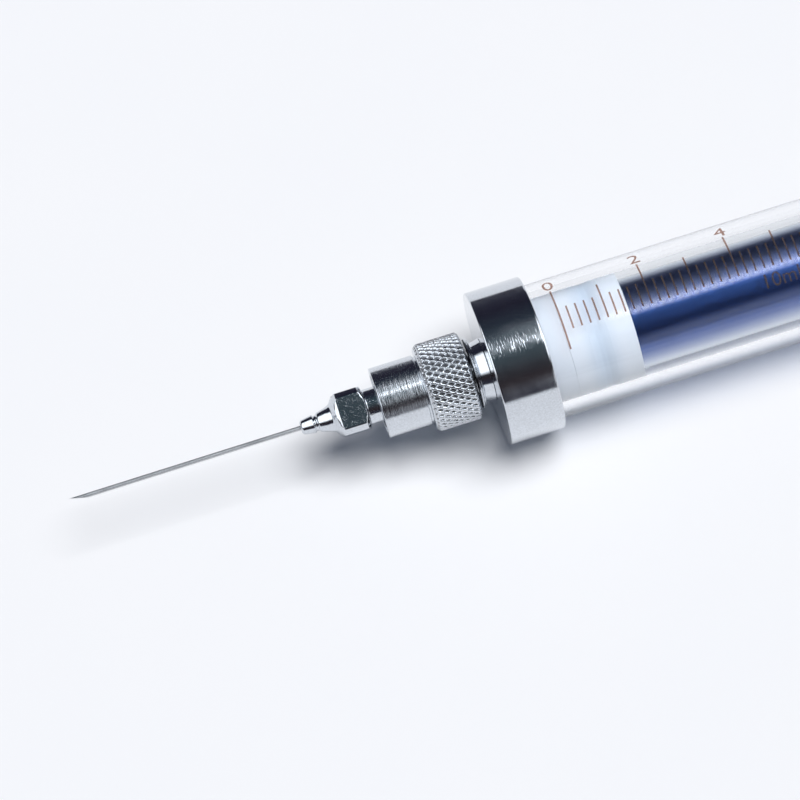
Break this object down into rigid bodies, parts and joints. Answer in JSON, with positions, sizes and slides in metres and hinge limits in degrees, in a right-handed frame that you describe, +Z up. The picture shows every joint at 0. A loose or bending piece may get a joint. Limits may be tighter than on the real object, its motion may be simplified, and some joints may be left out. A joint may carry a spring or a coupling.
{
  "type": "glass syringe",
  "caption": "Graduated glass syringe with a metal plunger rod, a knurled Luer-lock collar and a removable steel needle.",
  "frame": {"origin": "on the resting plane, under the middle of the whole length", "axes": "+X along the axis from the needle to the thumb button, +Z up from the resting plane, Y across"},
  "size_m": [0.1626, 0.03, 0.0212],
  "materials": {
    "barrel_glass": "clear polished borosilicate, brown scale marks",
    "bright_chrome": "bright turned chrome plate",
    "cannula_steel": "drawn stainless tube",
    "plain_steel": "plain steel",
    "plain_aluminium": "turned aluminium",
    "blue_anodised": "polished, deep blue anodised",
    "white_ptfe": "machined, slightly translucent white",
    "black_rubber": "matte"
  },
  "bodies": {
    "barrel": {"glass_barrel": "barrel_glass", "front_cap": "bright_chrome", "front_plug": "white_ptfe", "front_gasket": "black_rubber", "luer_stem": "bright_chrome", "stem_nut": "plain_steel", "stem_oring": "black_rubber", "collar_circlip": "plain_steel", "rear_sleeve": "bright_chrome", "rear_gasket": "black_rubber", "guide_bush": "white_ptfe", "finger_flange": "bright_chrome", "flange_nut": "bright_chrome"},
    "plunger": {"piston_head": "white_ptfe", "piston_core": "plain_aluminium", "piston_oring_front": "black_rubber", "piston_oring_rear": "black_rubber", "plunger_rod": "blue_anodised", "rod_front_insert": "plain_aluminium", "rod_rear_insert": "plain_aluminium", "thumb_button": "bright_chrome", "button_screw": "plain_steel"},
    "collar": {"luer_collar": "bright_chrome"},
    "needle": {"needle_hub": "bright_chrome", "needle_cannula": "cannula_steel"}
  },
  "joints": [
    {"name": "plunger_slide", "type": "slide", "parent": "barrel", "child": "plunger", "axis": [1, 0, 0], "range_m": [0, 0.062]},
    {"name": "collar_turn", "type": "hinge", "parent": "barrel", "child": "collar", "pos_m": [-0.0319, 0, 0.0106], "axis": [1, 0, 0], "range_deg": [0, 324]},
    {"name": "needle_unscrew", "type": "slide", "parent": "barrel", "child": "needle", "axis": [-1, 0, 0], "range_m": [0, 0.0045]}
  ],
  "couplings": [
    {"joint": "needle_unscrew", "follows": "collar_turn", "m_per_rad": 0.000795}
  ]
}
